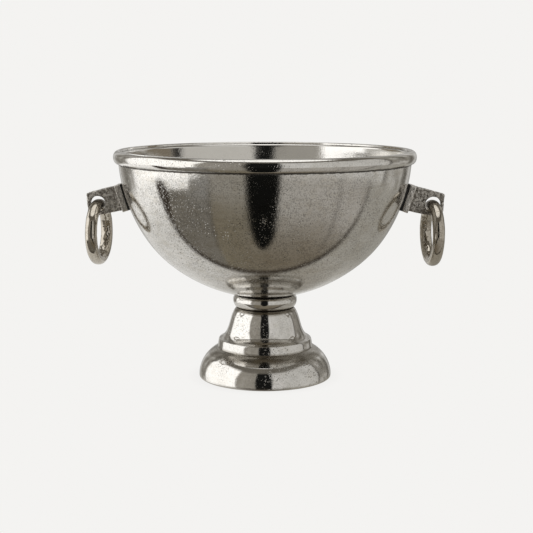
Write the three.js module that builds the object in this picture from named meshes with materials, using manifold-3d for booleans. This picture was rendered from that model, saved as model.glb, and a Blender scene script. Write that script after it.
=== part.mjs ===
// A footed champagne bucket: a hemispherical bowl with a half-round rim moulding, standing on a bell-shaped
// pedestal, with a cast lug on each side that carries a free ring handle.
// Millimetres, +Z up. The origin is the centre of the foot's resting face; the two lugs lie along X.
import * as THREE from "three";
import { mergeVertices } from "three/addons/utils/BufferGeometryUtils.js";
import Module from "manifold-3d";

const wasm = await Module();
wasm.setup();

// ---- driving dimensions -------------------------------------------------------------------------------
const BOWL_CENTRE_Z = 288; // centre of the bowl's sphere
const BOWL_R = 184.1; // outer radius of the bowl at its lip and at its bottom
const BOWL_FULLNESS = 1.4; // how far the belly stands outside that sphere
const WALL = 3.5; // bowl wall
const LIP_Z = 287.6; // cut edge of the bowl wall, under the rim moulding
const RIM_R = 190; // outside of the rim moulding
const RIM_TOP_Z = 291;
const GAP = 0.35; // air kept between two pieces that are clamped or brazed together

const BOSS_R = 21; // threaded boss under the bowl
const BOSS_BOTTOM_Z = 87.5;
const BOLT_R = 4.7; // foot bolt's shank
const BOLT_HOLE_R = 5.05;
const BOLT_TOP_Z = 101.5;
const BLIND_TOP_Z = 103;
const COLLAR_BORE_R = 21.6;
const WEB_BOTTOM_Z = 77;
const WEB_TOP_Z = 86.2;
const NECK_Z = 90.2; // pedestal's top face

const LUG_ANGLE = THREE.MathUtils.degToRad(18); // how far below the bowl's centre the lugs point
const FLANGE_H = 35; // lug flange, along the bowl
const FLANGE_UP = 0.6; // how far the flange's middle stands above the screws' middle
const FLANGE_W = 28; // lug flange, across
const FLANGE_T = 7.6;
const GASKET_T = 1.7; // between flange and bowl, at its thinnest
const BLADE_T = 14.6; // lug blade
const EYE = [212.1, 222.2]; // centre of the lug's eye, from the object's axis and from the table
const EYE_R = 10.1;
const SCREW_OFFSET = 9.5; // the two lug screws, above and below the lug's middle
const SCREW_R = 2.9;
const SCREW_HOLE_R = 3.25;
const SCREW_LENGTH = 18; // under the head
const SCREW_HEAD_R = 5.4;
const SCREW_HEAD_H = 3.6;
const WASHER_R = 7.2;
const WASHER_T = 1.2;

const RING_OUTER_R = 42.1;
const RING_RADIAL = 6.7; // half the ring's thickness across its plane's radius
const RING_AXIAL = 7.6; // half the ring's thickness along its own axis
const RING_PIVOT_Z = 221.2; // centre of the ring's bar where it passes through the eye
const RING_TWIST = THREE.MathUtils.degToRad(7); // how far each ring hangs turned out of the lug's cross plane

const SEGMENTS = 64; // round the bowl
const FOOT_SEGMENTS = 48; // round the pedestal

// ---- helpers ------------------------------------------------------------------------------------------
// A three.js geometry as a solid for joining and cutting.
function solid(geometry, matrix = new THREE.Matrix4()) {
  const flat = (geometry.index ? geometry.toNonIndexed() : geometry.clone()).applyMatrix4(matrix);
  const bare = new THREE.BufferGeometry().setAttribute("position", flat.getAttribute("position"));
  const merged = mergeVertices(bare, 1e-4);
  return new wasm.Manifold(
    new wasm.Mesh({
      numProp: 3,
      vertProperties: merged.attributes.position.array,
      triVerts: new Uint32Array(merged.index.array),
    }),
  );
}

function geometryOf(s) {
  const m = s.getMesh();
  const v = new Float32Array(m.numVert * 3);
  for (let i = 0; i < m.numVert; i++)
    v.set(m.vertProperties.subarray(i * m.numProp, i * m.numProp + 3), i * 3);
  const g = new THREE.BufferGeometry();
  g.setAttribute("position", new THREE.BufferAttribute(v, 3));
  g.setIndex(new THREE.BufferAttribute(new Uint32Array(m.triVerts), 1));
  g.computeVertexNormals();
  return g;
}

// A turned piece: [radius, height] pairs, revolved round Z.
function turned(points, segments) {
  return new THREE.LatheGeometry(
    points.map(([r, z]) => new THREE.Vector2(r, z)),
    segments,
  ).rotateX(Math.PI / 2);
}

// A rod along +Z from z0 to z1.
function rod(radius, z0, z1, sides) {
  return new THREE.CylinderGeometry(radius, radius, z1 - z0, sides)
    .rotateX(Math.PI / 2)
    .translate(0, 0, (z0 + z1) / 2);
}

function metal(color, roughness) {
  return new THREE.MeshStandardMaterial({ color, roughness, metalness: 1 });
}
const castNickel = metal(0xb6b1a6, 0.28);
const brightNickel = metal(0xc9c5bc, 0.16);
const roughNickel = metal(0x86807a, 0.5);
const steel = metal(0xa9aaac, 0.35);
const rubber = new THREE.MeshStandardMaterial({ color: 0x16140f, roughness: 0.85, metalness: 0 });

const bucket = new THREE.Group();
function add(name, geometry, material, parent = bucket) {
  const mesh = new THREE.Mesh(geometry, material);
  mesh.name = name;
  parent.add(mesh);
  return mesh;
}

// ---- bowl ---------------------------------------------------------------------------------------------
// The angle runs from straight down, 0, to the lip, a right angle.
function bowlRadius(angle) {
  const a = (THREE.MathUtils.radToDeg(angle) - 48) / 14;
  return BOWL_R + BOWL_FULLNESS * Math.exp(-a * a);
}
function onBowl(angle, inset = 0) {
  const r = bowlRadius(angle) - inset;
  return [r * Math.sin(angle), BOWL_CENTRE_Z - r * Math.cos(angle)];
}

const inner = [];
const outer = [];
const STEPS = 11;
const lipAngle = Math.acos((BOWL_CENTRE_Z - LIP_Z) / BOWL_R);
const bossAngle = Math.asin(BOSS_R / BOWL_R);
for (let i = 0; i <= STEPS; i++) {
  inner.push(onBowl((lipAngle * i) / STEPS, WALL));
  outer.push(onBowl(lipAngle + ((bossAngle - lipAngle) * i) / STEPS));
}
inner[0][0] = 0;
inner[STEPS][1] = LIP_Z;
outer[0][1] = LIP_Z;
const bowlProfile = [
  ...inner,
  ...outer,
  [BOSS_R, BOSS_BOTTOM_Z],
  [BOLT_HOLE_R, BOSS_BOTTOM_Z],
  [BOLT_HOLE_R, BLIND_TOP_Z],
  [0, BLIND_TOP_Z],
].reverse();
let bowl = solid(turned(bowlProfile, SEGMENTS));

// The lug's own axis leaves the bowl's surface at this point, pointing outwards and a little down. In a lug's
// frame, x runs outwards along that axis, z runs up along the bowl and y is across.
const seat = new THREE.Vector3(BOWL_R * Math.cos(LUG_ANGLE), 0, BOWL_CENTRE_Z - BOWL_R * Math.sin(LUG_ANGLE));
const lugFrame = new THREE.Matrix4()
  .makeTranslation(seat.x, seat.y, seat.z)
  .multiply(new THREE.Matrix4().makeRotationY(LUG_ANGLE));
const sides = { left: Math.PI, right: 0 };

// Clearance holes for the lug screws.
for (const turn of Object.values(sides))
  for (const up of [-SCREW_OFFSET, SCREW_OFFSET]) {
    const place = new THREE.Matrix4()
      .makeRotationZ(turn)
      .multiply(lugFrame)
      .multiply(new THREE.Matrix4().makeTranslation(0, 0, up))
      .multiply(new THREE.Matrix4().makeRotationY(Math.PI / 2));
    bowl = bowl.subtract(solid(rod(SCREW_HOLE_R, -14, 8, 16), place));
  }
add("bowl", geometryOf(bowl), castNickel);

// ---- rim moulding: caps the lip and stands out as a half-round bead -------------------------------------
const lipInner = BOWL_R - WALL;
add(
  "rim_bead",
  turned(
    [
      [lipInner, LIP_Z + GAP],
      [BOWL_R + GAP, LIP_Z + GAP],
      [BOWL_R + GAP, 275.2],
      [186.6, 275.5],
      [188.6, 277.3],
      [189.7, 280.0],
      [RIM_R, 283.0],
      [189.5, 286.2],
      [188.0, 288.9],
      [185.8, 290.5],
      [183.6, RIM_TOP_Z],
      [181.7, 290.5],
      [lipInner, 289.2],
      [lipInner, LIP_Z + GAP],
    ],
    SEGMENTS,
  ),
  brightNickel,
);

// ---- pedestal: a hollow bell-shaped casting with a web that the foot bolt passes through -----------------
add(
  "pedestal",
  turned(
    [
      // resting face and outside, upwards
      [79.6, 0],
      [84.3, 0],
      [85.0, 0.7],
      [84.9, 4.0],
      [84.5, 7.6],
      [83.6, 11.8],
      [81.6, 18.0],
      [78.4, 24.4],
      [73.8, 30.3],
      [69.4, 34.0],
      [65.2, 36.6],
      [61.8, 38.4],
      [60.6, 40.4],
      [59.6, 46.6],
      [58.4, 49.0],
      [55.4, 51.6],
      [52.0, 54.7],
      [48.9, 59.6],
      [46.4, 66.4],
      [44.0, 74.6],
      [41.4, 82.2],
      [39.0, 86.8],
      [36.6, 89.4],
      [36.2, NECK_Z],
      // register for the boss, and the bolt's hole in the web
      [COLLAR_BORE_R, NECK_Z],
      [COLLAR_BORE_R, WEB_TOP_Z],
      [5.6, WEB_TOP_Z],
      [5.6, WEB_BOTTOM_Z],
      // hollow underside, downwards
      [35.5, WEB_BOTTOM_Z],
      [40.2, 68.5],
      [43.0, 59.5],
      [46.6, 52.8],
      [53.4, 46.0],
      [55.4, 38.2],
      [63.6, 32.4],
      [70.6, 26.4],
      [75.6, 19.2],
      [78.4, 11.0],
      [79.6, 3.0],
      [79.6, 0],
    ],
    FOOT_SEGMENTS,
  ),
  brightNickel,
);

// ---- collar between pedestal and bowl, with a hollowed top that seats the bowl ---------------------------
const underBowl = (r) => BOWL_CENTRE_Z - Math.sqrt(BOWL_R * BOWL_R - r * r) - GAP;
add(
  "collar",
  turned(
    [
      [COLLAR_BORE_R, NECK_Z + GAP],
      [36.2, NECK_Z + GAP],
      [38.6, 92.0],
      [40.2, 95.2],
      [40.9, 98.4],
      [40.8, 101.8],
      [39.8, 104.8],
      [38.2, 106.0],
      [35.4, 106.2],
      [35.2, underBowl(35.2) - 0.1],
      [28, underBowl(28) - 0.1],
      [COLLAR_BORE_R, underBowl(COLLAR_BORE_R) - 0.1],
      [COLLAR_BORE_R, NECK_Z + GAP],
    ],
    FOOT_SEGMENTS,
  ),
  brightNickel,
);

// ---- foot bolt and its washers, reached from under the hollow foot --------------------------------------
const springTop = WEB_BOTTOM_Z - GAP - 2 - GAP;
const headTop = springTop - 2.4 - GAP;
add(
  "foot_washer",
  turned(
    [
      [5.5, WEB_BOTTOM_Z - GAP - 2],
      [15, WEB_BOTTOM_Z - GAP - 2],
      [15, WEB_BOTTOM_Z - GAP],
      [5.5, WEB_BOTTOM_Z - GAP],
      [5.5, WEB_BOTTOM_Z - GAP - 2],
    ],
    32,
  ),
  steel,
);
// Split spring washer: an open ring with a slanting cut.
add(
  "foot_spring_washer",
  geometryOf(
    solid(
      turned(
        [
          [5.4, springTop - 2.4],
          [9, springTop - 2.4],
          [9, springTop],
          [5.4, springTop],
          [5.4, springTop - 2.4],
        ],
        32,
      ),
    ).subtract(
      solid(
        new THREE.BoxGeometry(8, 1, 8),
        new THREE.Matrix4()
          .makeTranslation(7, 0, springTop - 1.2)
          .multiply(new THREE.Matrix4().makeRotationX(THREE.MathUtils.degToRad(25))),
      ),
    ),
  ),
  steel,
);
add(
  "foot_bolt",
  geometryOf(
    solid(rod(9.8, headTop - 6.4, headTop, 6)).add(solid(rod(BOLT_R, headTop - 1, BOLT_TOP_Z, 20))),
  ),
  steel,
);

// ---- lugs, with their gaskets, screws and washers, and the ring handles ----------------------------------
const FLANGE_BACK = 2 * GAP + GASKET_T; // flat back of the flange, from the bowl's surface
// The blade is drawn in the plane of the object's axis: distance from the axis, height above the table.
function lugSolid() {
  const face = new THREE.Matrix4().copy(lugFrame);
  const flange = solid(
    new THREE.BoxGeometry(FLANGE_T, FLANGE_W, FLANGE_H).translate(FLANGE_BACK + FLANGE_T / 2, 0, FLANGE_UP),
    face,
  );
  const blade = new THREE.Shape();
  blade.moveTo(178.2, 214.5);
  blade.lineTo(222.0, 205.7);
  blade.quadraticCurveTo(223.8, 205.5, 224.1, 207.5);
  blade.lineTo(226.4, 233.6);
  blade.quadraticCurveTo(226.5, 235.6, 224.6, 236.2);
  blade.lineTo(187.5, 245.6);
  blade.closePath();
  const eye = new THREE.Path();
  eye.absarc(EYE[0], EYE[1], EYE_R, 0, 2 * Math.PI, true);
  blade.holes.push(eye);
  let lug = solid(
    new THREE.ExtrudeGeometry(blade, { depth: BLADE_T, bevelEnabled: false, curveSegments: 20 })
      .rotateX(Math.PI / 2)
      .translate(0, BLADE_T / 2, 0),
  ).add(flange);
  for (const up of [-SCREW_OFFSET, SCREW_OFFSET])
    lug = lug.subtract(
      solid(
        rod(SCREW_HOLE_R, -2, SCREW_LENGTH - 2.5, 16),
        new THREE.Matrix4()
          .copy(lugFrame)
          .multiply(new THREE.Matrix4().makeTranslation(0, 0, up))
          .multiply(new THREE.Matrix4().makeRotationY(Math.PI / 2)),
      ),
    );
  return lug;
}

// A thin gasket: flat against the flange, hollowed to the bowl's curve on its back.
function gasketSolid() {
  let gasket = solid(
    new THREE.BoxGeometry(GASKET_T + 2, FLANGE_W - 0.6, FLANGE_H - 0.6).translate(
      GAP + (GASKET_T - 2) / 2,
      0,
      FLANGE_UP,
    ),
    lugFrame,
  ).subtract(
    solid(
      new THREE.SphereGeometry(BOWL_R + BOWL_FULLNESS * 0.01 + GAP, 96, 64),
      new THREE.Matrix4().makeTranslation(0, 0, BOWL_CENTRE_Z),
    ),
  );
  for (const up of [-SCREW_OFFSET, SCREW_OFFSET])
    gasket = gasket.subtract(
      solid(
        rod(SCREW_HOLE_R, -4, 6, 16),
        new THREE.Matrix4()
          .copy(lugFrame)
          .multiply(new THREE.Matrix4().makeTranslation(0, 0, up))
          .multiply(new THREE.Matrix4().makeRotationY(Math.PI / 2)),
      ),
    );
  return gasket;
}

// Turned about +Z with its tip up; the head sits at the bottom, inside the bowl.
const screwProfile = [
  [0, -SCREW_HEAD_H],
  [2.4, -SCREW_HEAD_H * 0.93],
  [4.2, -SCREW_HEAD_H * 0.66],
  [SCREW_HEAD_R, -SCREW_HEAD_H * 0.2],
  [SCREW_HEAD_R, 0],
  [SCREW_R, 0],
  [SCREW_R, SCREW_LENGTH - 1],
  [SCREW_R - 0.9, SCREW_LENGTH],
  [0, SCREW_LENGTH],
];
const washerProfile = [
  [SCREW_HOLE_R, -WASHER_T],
  [WASHER_R, -WASHER_T],
  [WASHER_R, 0],
  [SCREW_HOLE_R, 0],
  [SCREW_HOLE_R, -WASHER_T],
];
// Where the screw's washer rests: just inside the bowl's inner wall, at the screw's height.
const washerSeat = -(WALL + (SCREW_OFFSET * SCREW_OFFSET) / (2 * BOWL_R)) - 1.35;

for (const [side, turn] of Object.entries(sides)) {
  const half = new THREE.Group();
  half.rotation.z = turn;
  bucket.add(half);
  add("lug_" + side, geometryOf(lugSolid()), roughNickel, half);
  add("lug_gasket_" + side, geometryOf(gasketSolid()), rubber, half);
  for (const [level, up] of [
    ["lower", -SCREW_OFFSET],
    ["upper", SCREW_OFFSET],
  ]) {
    const fastener = new THREE.Group();
    fastener.applyMatrix4(
      new THREE.Matrix4()
        .copy(lugFrame)
        .multiply(new THREE.Matrix4().makeTranslation(washerSeat, 0, up))
        .multiply(new THREE.Matrix4().makeRotationY(Math.PI / 2)),
    );
    half.add(fastener);
    add("lug_washer_" + side + "_" + level, turned(washerProfile, 20), steel, fastener);
    const screw = new THREE.Group();
    screw.position.z = -WASHER_T - GAP;
    fastener.add(screw);
    add("lug_screw_" + side + "_" + level, turned(screwProfile, 16), steel, screw);
  }
  // The ring hangs in the eye, its bar passing through across the lug.
  const hung = new THREE.Group();
  hung.position.set(EYE[0], 0, RING_PIVOT_Z);
  hung.rotation.z = side === "right" ? RING_TWIST : -RING_TWIST;
  half.add(hung);
  const section = [];
  const centreR = RING_OUTER_R - RING_RADIAL;
  for (let i = 0; i <= 16; i++) {
    const a = (2 * Math.PI * (i % 16)) / 16;
    section.push([centreR + RING_RADIAL * Math.cos(a), RING_AXIAL * Math.sin(a)]);
  }
  const ring = add("ring_" + side, turned(section, 42), brightNickel, hung);
  ring.rotation.y = Math.PI / 2;
  ring.position.z = -centreR;
}

export default bucket;
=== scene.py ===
import math

import bmesh
import bpy
import numpy as np
from mathutils import Matrix, Vector, noise


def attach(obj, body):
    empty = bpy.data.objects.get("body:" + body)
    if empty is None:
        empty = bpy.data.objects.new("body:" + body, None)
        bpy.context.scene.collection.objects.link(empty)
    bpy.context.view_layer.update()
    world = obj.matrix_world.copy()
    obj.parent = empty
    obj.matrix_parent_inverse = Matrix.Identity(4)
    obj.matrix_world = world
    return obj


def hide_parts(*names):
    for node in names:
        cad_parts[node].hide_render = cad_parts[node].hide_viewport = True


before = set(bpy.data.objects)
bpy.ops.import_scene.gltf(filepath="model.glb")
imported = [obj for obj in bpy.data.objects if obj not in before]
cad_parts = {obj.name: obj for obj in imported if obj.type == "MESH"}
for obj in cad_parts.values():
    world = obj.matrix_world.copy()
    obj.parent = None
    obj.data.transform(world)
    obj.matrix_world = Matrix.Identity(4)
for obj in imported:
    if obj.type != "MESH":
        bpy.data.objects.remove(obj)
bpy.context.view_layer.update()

MM = 0.001

# ---------------------------------------------------------------------------------------------------
# Camera: a long lens, slightly above the rim, pitched down a little
# ---------------------------------------------------------------------------------------------------
AZ = math.radians(1.5)
cam_data = bpy.data.cameras.new("camera")
cam_data.sensor_width = 36.0
cam_data.lens = 78.15
cam_data.clip_end = 50.0
cam = bpy.data.objects.new("camera", cam_data)
bpy.context.scene.collection.objects.link(cam)
cam.location = (1.462 * math.sin(AZ), -1.462 * math.cos(AZ), 0.377)
cam.rotation_euler = (math.radians(90.0 - 9.144), 0.0, AZ - math.radians(0.074))
bpy.context.scene.camera = cam
bpy.context.scene.view_settings.view_transform = "Standard"
bpy.context.scene.view_settings.look = "None"


# ---------------------------------------------------------------------------------------------------
# Shader helpers
# ---------------------------------------------------------------------------------------------------
class Nodes:
    """Short names for building a node tree."""

    def __init__(self, tree):
        self.tree = tree
        tree.nodes.clear()

    def new(self, kind, **props):
        n = self.tree.nodes.new(kind)
        for k, v in props.items():
            setattr(n, k, v)
        return n

    def put(self, value, socket):
        if isinstance(value, bpy.types.NodeSocket):
            self.tree.links.new(value, socket)
        else:
            socket.default_value = value

    def math(self, op, a, b=None, c=None, clamp=False):
        n = self.new("ShaderNodeMath", operation=op, use_clamp=clamp)
        for i, v in enumerate((a, b, c)):
            if v is not None:
                self.put(v, n.inputs[i])
        return n.outputs[0]

    def add(self, a, b):
        return self.math("ADD", a, b)

    def sub(self, a, b):
        return self.math("SUBTRACT", a, b)

    def mul(self, a, b):
        return self.math("MULTIPLY", a, b)

    def step(self, x, low, high):
        """0 below low, 1 above high, smooth between. low may be above high, which turns it round."""
        n = self.new("ShaderNodeMapRange", interpolation_type="SMOOTHSTEP", clamp=True)
        self.put(x, n.inputs["Value"])
        if isinstance(low, (int, float)) and isinstance(high, (int, float)) and low > high:
            n.inputs["From Min"].default_value = high
            n.inputs["From Max"].default_value = low
            n.inputs["To Min"].default_value = 1.0
            n.inputs["To Max"].default_value = 0.0
        else:
            self.put(low, n.inputs["From Min"])
            self.put(high, n.inputs["From Max"])
            n.inputs["To Min"].default_value = 0.0
            n.inputs["To Max"].default_value = 1.0
        return n.outputs["Result"]

    def range(self, x, a, b, to_a, to_b):
        n = self.new("ShaderNodeMapRange", clamp=True)
        self.put(x, n.inputs["Value"])
        for k, v in (("From Min", a), ("From Max", b), ("To Min", to_a), ("To Max", to_b)):
            self.put(v, n.inputs[k])
        return n.outputs["Result"]

    def mix(self, f, a, b):
        n = self.new("ShaderNodeMix", data_type="RGBA", clamp_factor=True)
        self.put(f, n.inputs[0])
        for v, s in ((a, n.inputs[6]), (b, n.inputs[7])):
            if isinstance(v, (tuple, list)) and len(v) == 3:
                v = (*v, 1.0)
            self.put(v, s)
        return n.outputs[2]

    def xyz(self, v):
        n = self.new("ShaderNodeSeparateXYZ")
        self.put(v, n.inputs[0])
        return n.outputs[0], n.outputs[1], n.outputs[2]

    def vec(self, x, y, z):
        n = self.new("ShaderNodeCombineXYZ")
        for i, v in enumerate((x, y, z)):
            self.put(v, n.inputs[i])
        return n.outputs[0]

    def scale(self, v, s):
        n = self.new("ShaderNodeVectorMath", operation="MULTIPLY")
        self.put(v, n.inputs[0])
        self.put(s if isinstance(s, (tuple, list)) else (s, s, s), n.inputs[1])
        return n.outputs[0]

    def noise(self, v, scale, detail=2.0, rough=0.5, distortion=0.0):
        n = self.new("ShaderNodeTexNoise", noise_dimensions="3D")
        self.put(v, n.inputs["Vector"])
        n.inputs["Scale"].default_value = scale
        n.inputs["Detail"].default_value = detail
        n.inputs["Roughness"].default_value = rough
        n.inputs["Distortion"].default_value = distortion
        return n.outputs["Fac"]

    def cells(self, v, scale, feature="F1", randomness=1.0):
        n = self.new("ShaderNodeTexVoronoi", voronoi_dimensions="3D", feature=feature)
        self.put(v, n.inputs["Vector"])
        n.inputs["Scale"].default_value = scale
        n.inputs["Randomness"].default_value = randomness
        return n

    def bump(self, height, strength, distance, normal=None):
        n = self.new("ShaderNodeBump")
        n.inputs["Strength"].default_value = strength
        n.inputs["Distance"].default_value = distance
        self.put(height, n.inputs["Height"])
        if normal is not None:
            self.put(normal, n.inputs["Normal"])
        return n.outputs["Normal"]


def material(name):
    m = bpy.data.materials.new(name)
    m.use_nodes = True
    k = Nodes(m.node_tree)
    shader = k.new("ShaderNodeBsdfPrincipled")
    out = k.new("ShaderNodeOutputMaterial")
    m.node_tree.links.new(shader.outputs[0], out.inputs[0])
    at = k.new("ShaderNodeTexCoord").outputs["Object"]
    return m, k, shader, at


def pit_field(k, at, scale, size, patches, low, high):
    """A mask of round pits, one to a cell, gathered in patches."""
    c = k.cells(at, scale)
    spread = k.step(k.noise(at, patches, 3.0, 0.6), low, high)
    own = k.xyz(c.outputs["Color"])[0]
    radius = k.mul(k.add(k.mul(own, 0.75), 0.25), size)
    pit = k.step(k.math("DIVIDE", c.outputs["Distance"], radius), 1.0, 0.55)
    return k.mul(pit, spread)


def nickel(name, tint, dark, rough, pits, waves, lines, pit_size=0.27, pit_depth=0.00016, grain=1.0, speckle=0.5, joints=(), shaded_recesses=(), eye_shade=None, shell=False):
    """Nickel over a hand-finished casting. pits, waves, lines, grain and speckle say how much of each
    shows; the seam ranges are heights where painted shade darkens the gap between two parts, and the
    recess entries are (low, high, least radius, greatest radius, strength) where painted brown shade
    darkens the hollows under overhangs. shell is the bowl, which is turned more coarsely inside and
    has its shaded seams outside."""
    m, k, s, at = material(name)
    x, y, z = k.xyz(at)
    patchy = k.noise(at, 17.0, 3.0, 0.55)
    blotch = k.noise(at, 75.0, 4.0, 0.68)
    fine = k.noise(at, 620.0, 3.0, 0.72)
    p_small = pit_field(k, at, 480.0, pit_size * 1.15, 26.0, 0.52 - 0.17 * pits, 0.66 - 0.05 * pits)
    p_mid = pit_field(k, at, 300.0, pit_size * 1.05, 19.0, 0.56 - 0.13 * pits, 0.68 - 0.05 * pits)
    p_large = pit_field(k, at, 170.0, pit_size * 0.75, 12.0, 0.56 - 0.07 * pits, 0.68)
    p_all = k.math("MAXIMUM", k.math("MAXIMUM", p_small, p_mid), p_large)
    dimples = pit_field(k, at, 345.0, 0.34, 23.0, 0.60 - 0.16 * pits, 0.74 - 0.10 * pits)
    turning = k.noise(k.vec(k.mul(x, 14.0), k.mul(y, 14.0), k.mul(z, 760.0)), 1.0, 3.0, 0.7)
    inside = None
    if shell:
        dz = k.sub(z, 0.288)
        d = k.math("SQRT", k.add(k.add(k.mul(x, x), k.mul(y, y)), k.mul(dz, dz)))
        inside = k.step(d, 0.1833, 0.1820)
        p_all = k.mul(p_all, k.sub(1.0, k.mul(inside, 0.9)))
        # the casting is roughest low down and towards the sides
        coarse = k.range(k.sub(z, k.mul(k.math("ABSOLUTE", x), 0.25)), 0.236, 0.210, 0.0, 1.0)
        dimples = k.mul(k.mul(dimples, k.sub(1.0, inside)), k.add(k.mul(coarse, 0.9), 0.1))
        p_all = k.mul(p_all, k.add(k.mul(coarse, 0.65), 0.35))
        speckle_here = k.mul(k.sub(1.0, k.mul(inside, 0.95)), speckle)
    else:
        speckle_here = speckle
    colour = k.mix(k.range(patchy, 0.35, 0.68, 0.0, 1.0), tint, [c * 0.92 for c in tint])
    brown = [tint[0] * 0.80, tint[1] * 0.765, tint[2] * 0.70]
    colour = k.mix(k.mul(k.range(blotch, 0.47, 0.66, 0.0, 0.7), speckle_here), colour, brown)
    # browned streaks left by the turning
    streak = k.noise(k.vec(k.mul(x, 24.0), k.mul(y, 24.0), k.mul(z, 170.0)), 1.0, 5.0, 0.72)
    colour = k.mix(k.mul(k.range(streak, 0.50, 0.66, 0.0, 0.55), speckle_here), colour, [tint[0] * 0.66, tint[1] * 0.62, tint[2] * 0.54])
    broken = k.range(k.noise(at, 31.0, 4.0, 0.65), 0.38, 0.58, 0.35, 1.0)
    colour = k.mix(k.mul(k.mul(k.range(fine, 0.53, 0.42, 0.0, 1.0), speckle_here), broken), colour, [c * 0.42 for c in tint])
    colour = k.mix(k.mul(p_all, 0.85), colour, dark)
    r = k.range(patchy, 0.3, 0.7, rough * 0.8, rough * 1.3)
    r = k.add(r, k.mul(k.range(blotch, 0.45, 0.68, 0.0, 1.0), rough * 0.6))
    r = k.add(r, k.mul(k.sub(fine, 0.5), rough * 1.2))
    r = k.add(r, k.mul(p_all, 0.25))
    ragged = k.mul(k.sub(k.noise(at, 210.0, 3.0, 0.7), 0.5), 0.0022)
    level = k.add(z, ragged)
    # painted shade: each seam range is darkened nearly black, as the shadowed gap between two parts
    for z0, z1 in joints:
        seam = k.mul(k.step(level, z0 - 0.0005, z0 + 0.0001), k.step(level, z1 + 0.0005, z1 - 0.0001))
        if inside is not None:
            seam = k.mul(seam, k.sub(1.0, inside))
        colour = k.mix(k.mul(seam, 0.9), colour, (0.05, 0.042, 0.034))
        r = k.add(r, k.mul(seam, 0.35))
    if shaded_recesses:
        around = k.add(k.math("SQRT", k.add(k.mul(x, x), k.mul(y, y))), ragged)
    # painted shade: each recess range is darkened brown, as shade under an overhang
    for z0, z1, r0, r1, strength in shaded_recesses:
        low = k.mul(k.step(level, z0 - 0.0012, z0 + 0.0008), k.step(level, z1 + 0.0012, z1 - 0.0008))
        low = k.mul(low, k.mul(k.step(around, r0 - 0.001, r0 + 0.001), k.step(around, r1 + 0.0025, r1 - 0.001)))
        low = k.mul(low, k.range(fine, 0.34, 0.56, 0.55, 1.0))
        colour = k.mix(k.mul(low, strength), colour, (0.20, 0.172, 0.128))
        r = k.add(r, k.mul(low, 0.14 * strength))
    if eye_shade:
        # painted shade where a ring's bar sits inside its lug's eye: (x, z, full radius, clear radius)
        wx_, wz_ = k.sub(k.math("ABSOLUTE", x), eye_shade[0]), k.sub(z, eye_shade[1])
        eye_shade_mask = k.math("SQRT", k.add(k.add(k.mul(wx_, wx_), k.mul(y, y)), k.mul(wz_, wz_)))
        eye_shade_mask = k.mul(k.step(k.add(eye_shade_mask, ragged), eye_shade[3], eye_shade[2]), 0.85)
        colour = k.mix(eye_shade_mask, colour, (0.13, 0.108, 0.08))
        r = k.add(r, k.mul(eye_shade_mask, 0.16))
    k.put(colour, s.inputs["Base Color"])
    s.inputs["Metallic"].default_value = 1.0
    k.put(r, s.inputs["Roughness"])
    n = k.bump(k.mul(p_all, -1.0), 1.0, pit_depth)
    n = k.bump(k.mul(dimples, -1.0), 1.0, pit_depth * 2.2, n)
    n = k.bump(k.noise(at, 46.0, 2.0, 0.5), 1.0, 0.00010 * waves, n)
    n = k.bump(k.noise(at, 430.0, 4.0, 0.7), 1.0, 0.00002 * grain, n)
    if inside is not None:
        turning = k.mul(turning, k.add(k.mul(inside, 1.6), 1.0))
    n = k.bump(turning, 1.0, 0.0000055 * lines, n)
    k.put(n, s.inputs["Normal"])
    return m


def cast(name):
    """Rough plated sand casting, dark in its hollows and rubbed bright on its high spots. The flange,
    next to the bowl, was filed flatter and shows paler."""
    m, k, s, at = material(name)
    x, y, z = k.xyz(at)
    out = k.sub(k.mul(k.sub(k.math("ABSOLUTE", x), 0.17509), 0.95106), k.mul(k.sub(z, 0.23111), 0.30902))
    filed = k.step(out, 0.0112, 0.0098)
    coarse = k.noise(at, 330.0, 5.0, 0.68)
    patch = k.noise(at, 110.0, 3.0, 0.6)
    c = k.cells(at, 430.0)
    own = k.xyz(c.outputs["Color"])[0]
    pits = k.step(k.math("DIVIDE", c.outputs["Distance"], k.add(k.mul(own, 0.38), 0.04)), 1.0, 0.45)
    high = k.step(coarse, 0.42, 0.58)
    colour = k.mix(high, (0.27, 0.249, 0.222), (0.79, 0.76, 0.715))
    colour = k.mix(k.range(patch, 0.53, 0.66, 0.0, 0.6), colour, (0.24, 0.22, 0.195))
    colour = k.mix(k.mul(filed, 0.80), colour, (0.82, 0.79, 0.745))
    colour = k.mix(k.mul(pits, k.sub(0.85, k.mul(filed, 0.5))), colour, (0.05, 0.044, 0.038))
    k.put(colour, s.inputs["Base Color"])
    s.inputs["Metallic"].default_value = 1.0
    rough = k.sub(k.range(coarse, 0.3, 0.7, 0.58, 0.36), k.mul(filed, 0.14))
    k.put(rough, s.inputs["Roughness"])
    n = k.bump(k.mul(coarse, k.sub(1.0, k.mul(filed, 0.65))), 1.0, 0.00080)
    n = k.bump(k.mul(pits, -1.0), 1.0, 0.00040, n)
    k.put(n, s.inputs["Normal"])
    return m


def steel(name):
    m, k, s, at = material(name)
    grain = k.noise(k.scale(at, (1.0, 1.0, 14.0)), 420.0, 3.0, 0.6)
    k.put(k.mix(grain, (0.47, 0.47, 0.475), (0.60, 0.60, 0.60)), s.inputs["Base Color"])
    s.inputs["Metallic"].default_value = 1.0
    k.put(k.range(grain, 0.3, 0.7, 0.20, 0.38), s.inputs["Roughness"])
    k.put(k.bump(grain, 0.6, 0.00003), s.inputs["Normal"])
    return m


def rubber(name):
    m, k, s, at = material(name)
    grain = k.noise(at, 1400.0, 3.0, 0.7)
    k.put(k.mix(grain, (0.006, 0.006, 0.0055), (0.018, 0.017, 0.016)), s.inputs["Base Color"])
    k.put(k.range(grain, 0.3, 0.7, 0.62, 0.88), s.inputs["Roughness"])
    k.put(k.bump(grain, 0.8, 0.00004), s.inputs["Normal"])
    return m


# painted shade: the seam ranges in these calls darken the gaps between parts
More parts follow.
